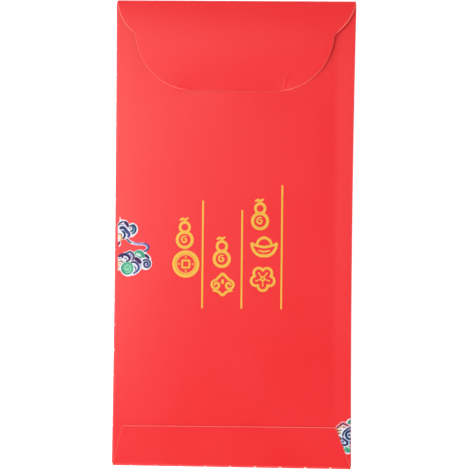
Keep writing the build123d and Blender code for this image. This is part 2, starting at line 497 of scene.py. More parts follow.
def back_grid(y, above):
    """Card of the back panel over rows y on one side of the slit, with the lip and the cut of that side."""
    fine = np.linspace(*FINE_BAND, 28)
    columns = np.concatenate([np.linspace(LEFT, back_high[0], 91), FLAP_SHIFT - fine, FLAP_SHIFT + fine])
    x = np.unique(columns.round(2))
    x = x[np.append(True, np.diff(x) > LEAST_STEP)]
    side = np.maximum(y, slit_y) if above else np.minimum(y, slit_y - HAIR)
    middle = stacked(x, y[:, None], (back_low[2] + back_high[2]) / 2)
    middle[..., 2] += lip(x, side[:, None])
    slope_y, slope_x = np.gradient(middle[..., 2], y, x)
    cut = edges_cut(len(y), len(x), first=1, last=1, right=FREE_EDGE_CUT)
    cut[0 if above else -1] = np.clip(SLIT_CUT * slit_open(x), LEAST_CUT, 1)
    return card_shell(middle, unit(stacked(-slope_x, -slope_y, 1.0)), cut)


near_slit = np.linspace(0, 1, 16) ** 2 * NEAR_SLIT
below_slit = np.concatenate([np.linspace(back_low[1], slit_y - NEAR_SLIT, 70)[:-1], slit_y - near_slit[::-1]])
above_slit = np.concatenate([slit_y + near_slit, np.linspace(slit_y + NEAR_SLIT, back_high[1], 20)[1:]])
back_shell = join([back_grid(below_slit, above=False), back_grid(above_slit, above=True)])
back = add_piece("back_panel_card", back_shell)
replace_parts(back, "back_panel")

# %% [markdown]
# ## The bottom flap
# The bottom flap is a trapezium with two rounded corners. Its outline is walked up one side, and each point
# of the walk is one straight row of the grid, as wide as the flap is there, so the corners stay exact. The
# blank was folded a little off square, so the rows lean and tilt.

# %% Bottom flap
FOOT_TAPER = 3.7
FOOT_LEAN = -1.0
FOOT_TILT = 0.62
FOOT_CORNER = 1.3
FOOT_EDGE_LIFT = 0.12
FOOT_STEP = 0.8
FOOT_CUT = 0.6
ROOT_OVERLAP = 0.35
foot_middle_x = (LEFT + RIGHT) / 2
foot_half = (RIGHT - LEFT) / 2
ROOT_HALF = foot_half + ROOT_OVERLAP


def even_walk(points, step):
    """The same line with points an even step apart."""
    length = np.concatenate([[0], np.cumsum(np.linalg.norm(np.diff(points, axis=0), axis=1))])
    places = np.linspace(0, length[-1], int(length[-1] / step) + 1)
    return stacked(*(np.interp(places, length, axis) for axis in points.T))


def rounded(points, reach):
    """A line whose corners are rounded, by a weighted mean over reach points either side of each point."""
    kernel = np.hanning(2 * reach + 3)[1:-1]
    kernel = kernel / kernel.sum()
    soft = points.copy()
    for axis in range(2):
        soft[reach:-reach, axis] = np.convolve(points[:, axis], kernel, mode="valid")
    return soft


def half_outline_grid(walk, columns):
    """Places in plan: one row for each point (half width, y) of the walk, from minus to plus its half width,
    with columns that crowd towards the sides by a sine."""
    across = np.sin(np.linspace(-np.pi / 2, np.pi / 2, columns))
    return walk[:, :1] * across, np.broadcast_to(walk[:, 1:], (len(walk), columns))


foot_top = foot_flap_high[1]
turn = np.radians(np.linspace(0, 90, 9))
foot_side = np.array([[ROOT_HALF, FOOT], [foot_half - FOOT_TAPER, foot_top - FOOT_CORNER]])
foot_end = (foot_half - FOOT_TAPER, foot_top)
foot_round = stacked(np.cos(turn) - 1, np.sin(turn) - 1) * FOOT_CORNER + foot_end
foot_walk = np.concatenate([even_walk(foot_side, FOOT_STEP), foot_round[1:]])
foot_x, foot_y = half_outline_grid(foot_walk, 65)
foot_up = (foot_y - FOOT) / (foot_top - FOOT)
foot_level = (foot_flap_low[2] + foot_flap_high[2]) / 2
foot_y = foot_y + FOOT_TILT * foot_up * (foot_x / foot_half + 1) / 2
foot_sheet = stacked(foot_x + foot_middle_x + FOOT_LEAN * foot_up, foot_y, foot_level)
foot_sheet[..., 2] += FOOT_EDGE_LIFT * smooth(foot_up) ** 2
foot_cut = edges_cut(*foot_x.shape, last=FOOT_CUT, left=FOOT_CUT, right=1)
foot_flap = add_piece("bottom_flap_card", card_shell(foot_sheet, UP, foot_cut))
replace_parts(foot_flap, "bottom_flap")

# %% [markdown]
# ## Folds and their nicks
# A fold carries the card round a half circle from the front panel to the sheet above. Two folds are
# perforated with short nicks, which let stiff card fold on a clean line and leave pale dots on the edge. A
# half tube with extra rows round each nick is enough: the nick is a dent, and an attribute lets the core
# show, more in some nicks than in others.

# %% Half tubes
NICK_PITCH = 9.14
FOOT_NICK_X = -0.3
LEFT_NICK_Y = -42.66
PALEST_Y = LEFT_NICK_Y + 1.7
PALE_REACH = 7
PALE_FROM, PALE_RUN = -25, 35
NICK_HALF = 0.45
NICK_DENT = 0.06
NICK_ANGLE = np.radians(122)
NICK_SPREAD = np.radians(38)
SIDE_END_CUT = 0.2


def fold_shell(start, end, outward, top, sweep=180.0, nicks=((), ()), columns=25, end_cut=1.0):
    """Card round a fold: along a line from start to end, round an arc that starts under the line and turns
    outward and up through sweep degrees to the level top. Nicks are places along the line, and the share of
    pale core that each one shows. Gives the card and that share at its points."""
    start, end, outward = np.array(start), np.array(end), np.array(outward)
    length = np.linalg.norm(end - start)
    places, paleness = np.append(nicks[0], 2 * length), np.append(nicks[1], 0)
    round_nicks = places[:-1, None] + NICK_HALF * np.linspace(-1.6, 1.6, 13)
    rows = np.unique(np.clip(np.append(round_nicks, np.linspace(0, length, 90)), 0, length))
    radius = (top - CARD) / (1 + np.cos(np.radians(180 - sweep)))
    angle = np.radians(np.linspace(0, sweep, columns))
    away = np.abs(rows[:, None] - places)
    round_nick = np.exp(-((away.min(axis=1) / NICK_HALF) ** 4))[:, None]
    at_edge = np.exp(-(((angle - NICK_ANGLE) / NICK_SPREAD) ** 4))[None, :]
    nick = round_nick * at_edge
    direction = np.sin(angle)[:, None] * np.append(outward, 0) - np.cos(angle)[:, None] * UP
    along = start + (end - start) * (rows / length)[:, None]
    base = np.column_stack([along, np.full(len(rows), CARD / 2 + radius)])
    middle = base[:, None] + direction[None] * (radius - NICK_DENT * nick)[..., None]
    ends = edges_cut(len(rows), columns, first=end_cut, last=end_cut)
    shell = card_shell(middle, direction, ends)
    pale = nick * paleness[away.argmin(axis=1)][:, None]
    return shell, np.concatenate([pale.ravel(), pale.ravel(), rim_of(pale)])


def add_fold(name, node_name, shell_and_rub):
    """Piece for a fold that stays with the pocket."""
    shell, rub = shell_and_rub
    piece = add_piece(name, shell, rub=rub)
    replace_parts(piece, node_name)


def nick_places(through, low, high):
    """Places of the nicks: an even pitch, both ways from one of them, that keeps clear of the fold's ends."""
    places = through + NICK_PITCH * np.arange(-20, 21)
    return places[(places > low + NICK_PITCH / 2) & (places < high - NICK_PITCH / 2)]


left_nicks = nick_places(LEFT_NICK_Y, FOOT, HEAD)
left_pale = 0.1 + 0.8 * np.exp(-(((left_nicks - PALEST_Y) / PALE_REACH) ** 2))
left_line = (LEFT, FOOT), (LEFT, HEAD), (-1, 0), back_high[2]
left_edge = fold_shell(*left_line, nicks=(left_nicks - FOOT, left_pale), end_cut=SIDE_END_CUT)
right_edge = fold_shell((RIGHT, HEAD), (RIGHT, FOOT), (1, 0), tab_high[2], end_cut=SIDE_END_CUT)
root_left, root_right = foot_middle_x - ROOT_HALF, foot_middle_x + ROOT_HALF
foot_nicks = nick_places(FOOT_NICK_X, root_left, root_right)
foot_pale = np.clip((foot_nicks - PALE_FROM) / PALE_RUN, 0.15, 1)
foot_line = (root_right, FOOT), (root_left, FOOT), (0, -1), foot_flap_high[2]
foot_edge = fold_shell(*foot_line, nicks=(root_right - foot_nicks, foot_pale))
add_fold("left_fold_card", "left_fold", left_edge)
add_fold("right_fold_card", "right_fold", right_edge)
add_fold("bottom_fold_card", "bottom_fold", foot_edge)

# %% [markdown]
# ## The closing flap
# The flap leaves the crease, runs over a low bow and ends in a tongue that dives through the slit. In plan it
# has shoulders, a notch on each side, a round lobe and the tongue: two arcs and two straights for one side,
# walked at an even step with rounded corners. Its height is a formula over the same plan: bow, a right side
# that springs higher, the dive, and one small wrinkle where the slit's end pinches it.

# %% Outline of the flap
NOTCH_BELOW_TOP = 12.5
NOTCH_HALF = 36.2
SHOULDER_BOW = 1.45
LOBE_BELOW_TOP = 32.6
LOBE_END = 18.2
LOBE_BOW = 4.9
TONGUE_HALF = 16.4
TONGUE_CORNER = 2.5
NECK_DROP = 0.2
OUTLINE_STEP = 0.25
FLAP_RISE = 1.4
RISE_WITHIN = 8.5
flap_middle = flap_low[2] + CARD / 2
root_angle = np.arctan(FLAP_RISE / RISE_WITHIN)
crease_radius = (flap_middle - CARD / 2) / (1 + np.cos(root_angle))
bow_root = HEAD + crease_radius * np.sin(root_angle)


def arc(start, end, sagitta, count=40):
    """Arc of a circle from start to end that stands a sagitta off the straight between them."""
    start, end = np.array(start), np.array(end)
    chord = np.linalg.norm(end - start)
    half_angle = 2 * np.arctan(2 * sagitta / chord)
    radius = chord / 2 / np.sin(half_angle)
    angle = np.linspace(-half_angle, half_angle, count)[:, None]
    ahead = (end - start) / chord
    aside = np.array([-ahead[1], ahead[0]])
    return (start + end) / 2 + radius * (np.sin(angle) * ahead + (np.cos(angle) - np.cos(half_angle)) * aside)


notch = (NOTCH_HALF, HALF_HEIGHT - NOTCH_BELOW_TOP)
lobe_end = (LOBE_END, HALF_HEIGHT - LOBE_BELOW_TOP)
tip = tongue_low[1]
corner = stacked(np.cos(turn) - 1, 1 - np.sin(turn)) * TONGUE_CORNER + (TONGUE_HALF, tip)
shoulder = arc((ROOT_HALF, bow_root), notch, SHOULDER_BOW)
lobe = arc(notch, lobe_end, LOBE_BOW)
neck = np.array([[TONGUE_HALF, slit_y - NECK_DROP]])
outline = np.concatenate([shoulder, lobe[1:], neck, corner])
flap_walk = rounded(even_walk(outline, OUTLINE_STEP), 2)
print(f"flap outline: {len(flap_walk)} rows, widest {2 * flap_walk[:, 0].max():.1f} mm, tip {tip:.1f} mm")

# %% Height of the flap
THROUGH_SLIT = 0.68
BEND_AT = 16.5
BEND_WITHIN = 2.5
TONGUE_SLOPE = 0.14
LOBE_LIFT = 0.32
LOBE_RUN = 12.0
LOBE_FROM, LOBE_FULL = TONGUE_HALF - 0.4, SLIT_HALF + 4
LOBE_SPREAD = 1.2
SPRING = 0.15
SPRING_FROM, SPRING_OVER = 6, 30
RIDGE_X, RIDGE_BEND, RIDGE_TOP = 17.9, 1.3, 8.5
WRINKLE = 0.07
WRINKLE_HALF = 0.3
LOBE_BARE, SHOULDER_BARE = 0.6, 1.8
BARE_OVER, ROOT_OVER = 3, 0.8
flap_span = bow_root - slit_y
tongue_drop = flap_middle - THROUGH_SLIT - (tongue_low[2] + CARD / 2)


def lobes(x, up):
    """Share of the lobes: 0 over the tongue and 1 outside the slit's ends, over a width that grows with the
    distance up from the slit."""
    inner, outer = LOBE_FROM - LOBE_SPREAD * up, LOBE_FULL + LOBE_SPREAD * up
    return smooth((np.abs(x - FLAP_SHIFT) - inner) / (outer - inner))


def bent(down):
    """Soft bend from level to an even slope: the logarithm of one plus an exponential of the distance."""
    return np.logaddexp(0, (down - BEND_AT) / BEND_WITHIN)


def flap_height(x, y):
    """Middle of the flap: a quick rise from the crease that dies away, less a bend into an even slope down
    through the slit, plus lobes that stay on top, a spring to the right and a ridge to the slit's end; past
    the slit the tongue's fall dies away too."""
    down, up = bow_root - y, np.clip(y - slit_y, 0, None)
    rise = FLAP_RISE * (1 - np.exp(-down / RISE_WITHIN))
    fall = (FLAP_RISE + THROUGH_SLIT) * bent(np.clip(down, 0, flap_span)) / bent(flap_span)
    lift = LOBE_LIFT * np.clip(1 - up / LOBE_RUN, 0, 1) ** 2 * lobes(x, up)
    halfway = np.sqrt(np.clip(1 - (2 * down / flap_span - 1) ** 2, 0, 1))
    spring = SPRING * smooth((x - SPRING_FROM) / SPRING_OVER) * halfway
    ridge_x = RIDGE_X + RIDGE_BEND * np.clip((up - 1) / 5, 0, 2) ** 2
    ridge_share = smooth((RIDGE_TOP - up) / 2) * smooth(up / 1.5)
    ridge = WRINKLE * ridge_share * np.exp(-(((x - ridge_x) / WRINKLE_HALF) ** 2))
    dive = tongue_drop * (1 - np.exp(-TONGUE_SLOPE * np.clip(slit_y - y, 0, None) / tongue_drop))
    return flap_middle + rise - fall + lift + spring + ridge - dive


def height_sheet(x, y, height, reach=0.05):
    """Middle surface and outward directions of a height formula, from its slopes over a short reach."""
    slope_x = (height(x + reach, y) - height(x - reach, y)) / (2 * reach)
    slope_y = (height(x, y + reach) - height(x, y - reach)) / (2 * reach)
    return stacked(x, y, height(x, y)), unit(stacked(-slope_x, -slope_y, 1.0))


flap_x, flap_y = half_outline_grid(flap_walk[::-1], 121)
shifted = foot_middle_x + (FLAP_SHIFT - foot_middle_x) * smooth((bow_root - flap_y) / NOTCH_BELOW_TOP)
flap_sheet, flap_out = height_sheet(flap_x + shifted, flap_y, flap_height)
flap_bare = LOBE_BARE + (SHOULDER_BARE - LOBE_BARE) * smooth((flap_y[:, 0] - notch[1]) / BARE_OVER)
flap_bare = np.maximum(flap_bare * smooth((bow_root - flap_y[:, 0]) / ROOT_OVER), LEAST_CUT * 2)
flap_cut = edges_cut(*flap_x.shape, first=1, left=flap_bare, right=flap_bare)
flap = add_piece("top_flap_card", card_shell(flap_sheet, flap_out, flap_cut), body="flap", lift=1)
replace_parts(flap, "top_flap", "flap_tongue")

# %% [markdown]
# ## The crease that opens
# The flap turns on a crease, which is card that bends. It is another half tube, swept only as far as the
# angle at which the flap leaves it. Its lower edge meets the pocket and its upper edge meets the flap, but
# the crease is attached to neither body.

# %% Top crease
crease_sweep = 180 - np.degrees(root_angle)
crease_line = (root_left, HEAD), (root_right, HEAD), (0, 1), flap_low[2] + CARD
crease_shell, crease_rub = fold_shell(*crease_line, sweep=crease_sweep, columns=33)
crease = add_piece("top_crease_card", crease_shell, body=None, rub=crease_rub)
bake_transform(crease)
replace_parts(crease, "top_crease")

# %% [markdown]
# ## Glue
# Two films of dried glue hold the envelope together, under the back panel's free edge and under the bottom
# flap. A glue roller leaves a wavering edge, so each film's rim wanders a little.

# %% Glue films
WANDER = 0.25
GLUE_TONES = paint(214, 208, 190), paint(232, 228, 214)
dried_glue = finish("dried_glue_film", GLUE_TONES, (900, 2600), (0.35, 0.6), 0.03)


def add_glue(name, node_name):
    """Film that fills a glue solid's box, drawn in at its rim by a slow and a quick wave."""
    low, high = corners(node_name)
    u, v = np.linspace(-1, 1, 25), np.linspace(-1, 1, 61)[:, None]
    middle, half = (low + high) / 2, (high - low) / 2
    wave = WANDER * (0.6 * np.sin(7 * v + 2 * u) + 0.4 * np.sin(19 * v - 5 * u) - 1)
    sheet = stacked(middle[0] + u * (half[0] + wave), middle[1] + v * (half[1] + wave), middle[2])
    shell = card_shell(sheet, UP, thick=high[2] - low[2])
    film = add_piece(name, shell, (dried_glue, dried_glue))
    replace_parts(film, node_name)


add_glue("side_glue_film", "side_glue")
add_glue("bottom_glue_film", "bottom_glue")

# %% [markdown]
# ## Print on the back panel
# Ink and foil could be painted into the card's material, but then their outlines would need a picture or a
# very fine mesh. They are thin films instead: bands carried along a path, and discs that are a square grid
# squeezed into a circle, so there is no pole. They lie a few hundredths of a millimetre above the panel and
# follow its pillow.

# %% Bands, discs and films
FILM_STEP = 0.011
FILM_ORDER = 0.0003


def flow(*points, count=40):
    """Smooth line through a few points: cubics that pass each point in the direction of its neighbours."""
    points = np.array(points, float)
    padded = np.vstack([2 * points[0] - points[1], points, 2 * points[-1] - points[-2]])
    place = np.linspace(0, len(points) - 1, count)
    first = np.minimum(place.astype(int), len(points) - 2)
    f = (place - first)[:, None]
    a, b, c, d = (padded[first + number] for number in range(4))
    return 0.5 * (2 * b + (c - a) * f + (2 * a - 5 * b + 4 * c - d) * f**2 + (3 * b - a - 3 * c + d) * f**3)


def scroll(x, y, radius, end_radius, start, turns, count=72):
    """Spiral about x, y: the radius changes evenly while the angle turns."""
    angle = np.radians(start) + 2 * np.pi * turns * np.linspace(0, 1, count)
    reach = np.linspace(radius, end_radius, count)
    return stacked(x + reach * np.cos(angle), y + reach * np.sin(angle))


def band(path, width, brush=0.0, columns=5):
    """Band along a path: points moved aside by shares of the half width, which a brush makes thin at the
    ends. Gives places in plan and a crown, which is 1 along the middle and 0 at the sides."""
    closed = np.allclose(path[0], path[-1])
    ahead = np.gradient(path, axis=0)
    if closed:
        ahead[0] = ahead[-1] = path[1] - path[-2]
    ahead = unit(ahead)
    aside = stacked(ahead[:, 1], -ahead[:, 0])
    along = np.linspace(0, 1, len(path))
    half = width / 2 * (1 - brush + brush * np.sin(np.pi * along) ** 0.7)
    across = np.linspace(-1, 1, columns)
    plan = path[:, None] + aside[:, None] * (half[:, None] * across)[..., None]
    return plan, np.broadcast_to(1 - across**2, plan.shape[:2])


def disc(x, y, radius, tall=None, turn=0.0, count=15):
    """Disc or oval about x, y: a square grid squeezed into a circle, turned by some degrees."""
    u, v = np.meshgrid(np.linspace(-1, 1, count), np.linspace(-1, 1, count))
    wide, high = radius * u * np.sqrt(1 - v * v / 2), (tall or radius) * v * np.sqrt(1 - u * u / 2)
    c, s = np.cos(np.radians(turn)), np.sin(np.radians(turn))
    return stacked(x + wide * c - high * s, y + wide * s + high * c), 1 - np.maximum(u * u, v * v)


def patch(head, foot, rows=12):
    """Ground between two lines that run the same way, the upper one first: a straight row of points from
    each place on one to the same place on the other."""
    down = np.linspace(0, 1, rows)[None, :, None]
    plan = head[:, None] * (1 - down) + foot[:, None] * down
    return plan, np.ones(plan.shape[:2])


def film_shell(plan, rise):
    """Points, faces and finish numbers of a film over places in plan, at a rise above the back panel."""
    x, y = np.moveaxis(plan, -1, 0)
    faces = grid_faces(*x.shape)
    return stacked(x, y, BACK_TOP + lip(x, y) + rise).reshape(-1, 3), faces, np.zeros(len(faces), int)


print("a band has", band(flow((0, 0), (1, 1)), 1.0)[0].shape, "places, a disc has", disc(0, 0, 1)[0].shape)

# %% [markdown]
# ## Two printed clouds
# Lucky clouds are a traditional pattern: scrolls and swelling lobes in bands of colour, edged in white. A
# press would leave the card white there. Here pale grounds are laid first and make a cloud's outline, and
# coloured bands, discs and spirals lie on them. Most lines are drawn as with a pen: a start, and then steps.
# The ink goes from one tone to another along a band and is stored at the points, because a shape follows its
# own path better than any texture.

# %% Inks, and a piece made of films
GROUND_LAYER, INK_LAYER, TOP_LAYER = 1, 2, 3
WELD = 1e-7
WHITE, ICE = paint(246, 246, 255), paint(206, 224, 252)
NAVY, TEAL, SKY = paint(36, 48, 96), paint(18, 74, 102), paint(120, 172, 208)
PURPLE, VIOLET, LILAC = paint(78, 30, 98), paint(88, 88, 168), paint(190, 182, 228)
MINT, GREEN = paint(98, 196, 158), paint(52, 152, 120)
AMBER, WINE, PINK = paint(235, 165, 80), paint(130, 20, 50), paint(250, 160, 180)
STRAW, BROWN, OLIVE = paint(255, 226, 150), paint(110, 45, 25), paint(120, 115, 60)
FRESH, INK = paint(175, 240, 205), paint(30, 45, 62)
INK_TONES = paint(236, 236, 236), paint(255, 255, 255)
coating = {"colours": "ink", "Specular_IOR_Level": 0.25}
offset_ink = finish("offset_ink", INK_TONES, (2400, 5200), (0.4, 0.48), 0.01, **coating)


def colour(first, last, shape, layer=INK_LAYER):
    """Film whose tone runs from first to last along its path."""
    return layer, first, last, shape


def white(shape):
    """White ground of a cloud."""
    return colour(WHITE, WHITE, shape, GROUND_LAYER)


def pen(row, count=40):
    """Smooth line of a row of tenths of a millimetre: x and y of its start, then of each step."""
    return flow(*np.cumsum(np.reshape(row, (-1, 2)), axis=0) / 10, count=count)


def ground(head, foot, count):
    """White ground between two pen lines."""
    return white(patch(pen(head, count), pen(foot, count)))


def strokes(rows, layer=INK_LAYER):
    """Bands from rows of first tone, last tone, width, brush and a pen line."""
    return [
        colour(first, last, band(pen(row), width, brush), layer)
        for first, last, width, brush, *row in rows
    ]


def add_print(name, films, edge_x, keep):
    """Ink piece of many films, each at its layer's height: points that fall together are welded, and a
    straight edge of the sheet trims it."""
    shells, inks = [], []
    for order, (layer, first, last, (plan, _)) in enumerate(films):
        shells.append(film_shell(plan, FILM_STEP * layer + FILM_ORDER * order))
        inks.append(np.repeat(np.linspace(first, last, len(plan)), plan.shape[1], axis=0))
    piece = add_piece(name, join(shells), (offset_ink,))
    layer = piece.data.color_attributes.new("ink", "FLOAT_COLOR", "POINT")
    layer.data.foreach_set("color", np.concatenate(inks).ravel().astype(np.float32))
    trim = bmesh.new()
    trim.from_mesh(piece.data)
    bmesh.ops.remove_doubles(trim, verts=trim.verts[:], dist=WELD)
    everything = trim.verts[:] + trim.edges[:] + trim.faces[:]
    edge = {"plane_co": (edge_x * MM, 0, 0), "plane_no": (keep, 0, 0), "clear_inner": True}
    bmesh.ops.bisect_plane(trim, geom=everything, **edge)
    trim.to_mesh(piece.data)
    trim.free()
    print(f"{name}: {len(films)} films")


# %% Cloud at the left edge
CLOUD_EDGE_LEFT = -42.5
upper_head = (-427, 34, 6, 8, 2, 17, 5, -9, 15, -2, 9, -5, 7, -9, 9, 4, 9, -2, 10, -7, 5, -12)
upper_foot = (-426, -31, 11, 1, 8, 7, 8, 0, 7, 3, 9, 3, 10, 2, 8, 4, 8, 8, 6, 10, 1, 10)
lower_head = (-425, -84, 10, 6, 15, 8, 9, 3, 10, 5, 8, -2, 7, -4, 7, 4, 15, 5, 14, -4, 11, -7, 11, -10, 7,
    -8, 1, -10, 4, -11)
lower_foot = (-425, -138, 8, 2, 4, -6, 8, -9, 10, -6, 12, -1, 11, 3, 8, 1, 10, 5, 12, 10, 7, 9, 6, -2, 11,
    -2, 10, 4, 8, 9, 4, 12)
ribbon = (-392, -20, 9, -9, 9, -5, 9, -3, 13, -2, 14, 0, 13, -1, 8, -5, 4, -7, -3, -7, -9, -6)
tail = ((WHITE, WHITE, 0.5, 0.4, -414, -34, -3, -8, -4, -8),)
left_strokes = (
    (NAVY, NAVY, 0.58, 0.2, -425, 27, 3, 5, 5, 5, 7, 4, 7, 0),
    (PURPLE, PURPLE, 1.22, 0.6, -403, 41, 6, -3, 6, -7, 4, -10),
    (VIOLET, LILAC, 0.36, 0.4, -417, 28, 5, 4, 6, -1, 4, 2),
    (NAVY, VIOLET, 1.18, 0.3, -419, 15, 5, 4, 7, 1, 7, -4, 7, -9, 8, -8, 1, -8, -5, -6),
    (SKY, SKY, 0.24, 0.4, -416, 9, 7, 2, 8, -6, 5, -10, -2, -11),
    (TEAL, NAVY, 0.74, 0.3, -411, 7, 8, -5, 3, -9, -3, -10, -5, -3),
    (AMBER, AMBER, 0.5, 0.2, -426, -3, 9, -1, 5, -6, 1, -10, -4, -10),
    (STRAW, STRAW, 0.4, 0.2, -425, -11, 7, -2, 2, -5, -3, -6),
    (BROWN, BROWN, 0.2, 0.4, -418, -2, 5, -3, 3, -8),
    (NAVY, NAVY, 0.54, 0.3, -418, -32, -2, -5, -3, -7),
    (NAVY, TEAL, 0.7, 0.45, -383, 27, 11, -2, 4, -8, -3, -7, -9, -4),
    (SKY, SKY, 0.44, 0.3, -377, 32, 10, -5, 3, -9, -3, -10, -8, -6),
    (NAVY, TEAL, 0.72, 0.35, -372, 32, 9, -6, 4, -9, -3, -12, -11, -9),
    (OLIVE, OLIVE, 0.25, 0.4, -383, 23, 0, -5, 2, -4),
    (NAVY, TEAL, 0.54, 0.4, -393, -20, 6, -7, 7, -6, 6, -1),
    (SKY, LILAC, 0.24, 0.4, -386, -23, 5, -6, 8, -4, 8, -3),
    (LILAC, LILAC, 0.6, 0.3, -368, -37, 9, -2, 14, -1, 14, 0, 9, -3),
    (VIOLET, VIOLET, 0.26, 0.3, -366, -34, 14, -1, 14, -1, 11, 0),
    (VIOLET, NAVY, 0.7, 0.4, -331, -37, 11, -2, 9, -7, 1, -8, -5, -7, -13, -6),
    (LILAC, LILAC, 0.42, 0.4, -327, -41, 8, -4, 3, -6, -4, -7, -6, -3),
    (NAVY, PURPLE, 1.02, 0.3, -424, -87, 7, 4, 8, 4, 9, 1, 11, -3, 8, -9, -1, -9),
    (PURPLE, PURPLE, 0.64, 0.5, -381, -98, -6, -3, -8, -1),
    (PURPLE, PURPLE, 0.9, 0.6, -412, -84, 4, -3, 4, -2),
    (NAVY, VIOLET, 0.33, 0.4, -401, -95, 4, 4, 4, -2, -1, -5),
    (TEAL, PURPLE, 0.64, 0.3, -397, -73, 9, 1, 9, 4, 10, -7, 5, -9, -3, -10, -6, -5),
    (SKY, LILAC, 0.3, 0.4, -391, -75, 10, -3, 5, -7, 2, -8),
    (PURPLE, PURPLE, 1.09, 0.5, -325, -77, 8, -6, 10, -9),
    (PURPLE, PURPLE, 1.47, 0.3, -362, -92, 9, -3, 9, -8, 6, -7),
    (NAVY, VIOLET, 0.82, 0.35, -376, -107, 11, 2, 10, -4, 8, -10, 1, -10, -8, -10, -12, -8),
    (NAVY, NAVY, 0.41, 0.5, -363, -119, 6, -9, -1, -8),
    (SKY, LILAC, 0.3, 0.5, -343, -110, 5, -7, 1, -6),
    (AMBER, BROWN, 0.5, 0.3, -424, -105, 7, 2, 7, 0, 6, -5),
    (STRAW, AMBER, 0.5, 0.3, -424, -113, 6, 2, 6, -3),
    (STRAW, WHITE, 0.6, 0.3, -423, -116, 3, -7, 0, -8),
    (AMBER, AMBER, 0.3, 0.3, -424, -119, 3, -6, -1, -7),
    (OLIVE, OLIVE, 0.26, 0.4, -423, -95, 6, 2, 6, -2),
    (MINT, GREEN, 1.0, 0.3, -362, -72, 10, 5, 11, 0, 9, -7, 4, -9, -1, -6),
    (GREEN, TEAL, 0.35, 0.4, -347, -85, 5, -4, 7, -2),
)
left_cloud = [
    ground(upper_head, upper_foot, 60),
    ground(lower_head, lower_foot, 70),
    white(band(pen(ribbon, 60), 1.05)),
    *strokes(tail, GROUND_LAYER),
    colour(LILAC, LILAC, disc(-37.4, -8.2, 0.75, 1.1)),
    colour(MINT, MINT, disc(-34.4, -7.6, 1.9, 1.15, -15.0)),
    colour(MINT, MINT, disc(-38.9, -12.8, 2.35)),
    colour(LILAC, LILAC, disc(-31.7, -11.2, 1.35)),
    *strokes(left_strokes),
    colour(NAVY, TEAL, band(scroll(-31.7, -11.2, 1.75, 0.3, 140, -1.6), 0.58)),
    colour(FRESH, FRESH, band(scroll(-38.9, -12.8, 1.6, 0.35, 250, 1.5), 0.36, 0.2)),
    colour(GREEN, GREEN, band(scroll(-38.9, -12.8, 2.1, 2.1, 150, 0.4), 0.5, 0.7)),
    colour(FRESH, MINT, disc(-38.9, -12.8, 0.5)),
    colour(PINK, LILAC, disc(-37.8, 1.8, 0.36)),
    colour(FRESH, WHITE, disc(-34.8, -7.9, 1.0, 0.5, -20.0)),
]
add_print("left_cloud_print", left_cloud, CLOUD_EDGE_LEFT, 1)

# %% Cloud at the right edge, partly under the bottom flap
CLOUD_EDGE_RIGHT = back_high[0] - FREE_EDGE_CUT * CUT_SLOPE
rims = (
    (WHITE, WHITE, 0.4, 0.2, 418, -678, 5, 6, 7, 6, 10, 2),
    (WHITE, WHITE, 0.4, 0.2, 411, -782, 4, -6, 9, -4, 11, 3, 7, 1),
)
right_strokes = (
    (GREEN, GREEN, 1.1, 0.3, 425, -679, 5, 2, 6, 5, 6, 3),
    (MINT, GREEN, 0.5, 0.3, 428, -683, 5, 1, 5, 2),
    (PINK, PINK, 0.62, 0.2, 381, -702, 3, 8, 8, 7, 9, 7, 6, 3, 8, -2, 9, -6, 8, -6),
    (WINE, WINE, 0.64, 0.3, 385, -698, 8, 5, 7, 6, 7, 4, 8, -2, 12, -6),
    (STRAW, PINK, 0.5, 0.3, 385, -704, 8, 3, 7, 5, 7, 4, 9, 0, 6, -3),
    (WINE, WINE, 0.33, 0.4, 406, -698, 5, 3, 5, -3),
    (BROWN, BROWN, 0.34, 0.4, 386, -707, 8, -1, 9, 3),
    (AMBER, STRAW, 0.44, 0.3, 387, -715, 6, 1, 6, 3),
    (BROWN, OLIVE, 0.34, 0.4, 390, -720, 5, 2, 5, 2),
    (NAVY, TEAL, 0.67, 0.2, 407, -729, 1, 9, 5, 9, 8, 7, 7, 5, 10, 3),
    (LILAC, LILAC, 0.42, 0.2, 413, -728, 3, 10, 6, 8, 8, 5, 8, 2),
    (NAVY, TEAL, 0.87, 0.15, 437, -708, -7, -2, -8, -5, -3, -8, 2, -8, 6, -6, 11, -2),
    (INK, INK, 0.59, 0.3, 396, -730, 2, -6, 3, -6),
    (PURPLE, NAVY, 0.79, 0.25, 404, -733, 6, -6, 9, -6, 4, -7, -1, -6, -7, -3, -10, 2),
    (SKY, SKY, 0.35, 0.4, 425, -743, 4, -7, 3, -7),
    (TEAL, TEAL, 0.36, 0.3, 432, -747, 3, -5, 1, -5),
    (MINT, GREEN, 1.65, 0.25, 413, -773, 7, -3, 7, -4, 11, -1),
    (GREEN, MINT, 0.6, 0.3, 427, -766, 6, 0, 6, -1),
    (WHITE, WHITE, 0.2, 0.3, 421, -762, 7, -7, 10, -6),
    (WINE, WINE, 0.31, 0.4, 406, -767, 3, -2, 3, 0),
)
right_cloud = [
    colour(ICE, ICE, disc(43.7, -72.6, 3.35), GROUND_LAYER),
    white(disc(41.0, -70.5, 2.1)),
    white(disc(40.6, -72.7, 1.5)),
    colour(ICE, ICE, disc(41.3, -74.8, 1.85), GROUND_LAYER),
    white(disc(42.6, -77.5, 1.9, 1.5)),
    white(disc(43.6, -68.0, 1.6, 1.2)),
    *strokes(rims, GROUND_LAYER),
    *strokes(right_strokes),
    colour(LILAC, LILAC, disc(40.7, -74.8, 0.55), TOP_LAYER),
    colour(NAVY, NAVY, disc(40.7, -74.8, 0.28), TOP_LAYER),
    colour(NAVY, INK, disc(43.0, -72.4, 0.42), TOP_LAYER),
]
add_print("right_cloud_print", right_cloud, CLOUD_EDGE_RIGHT, -1)

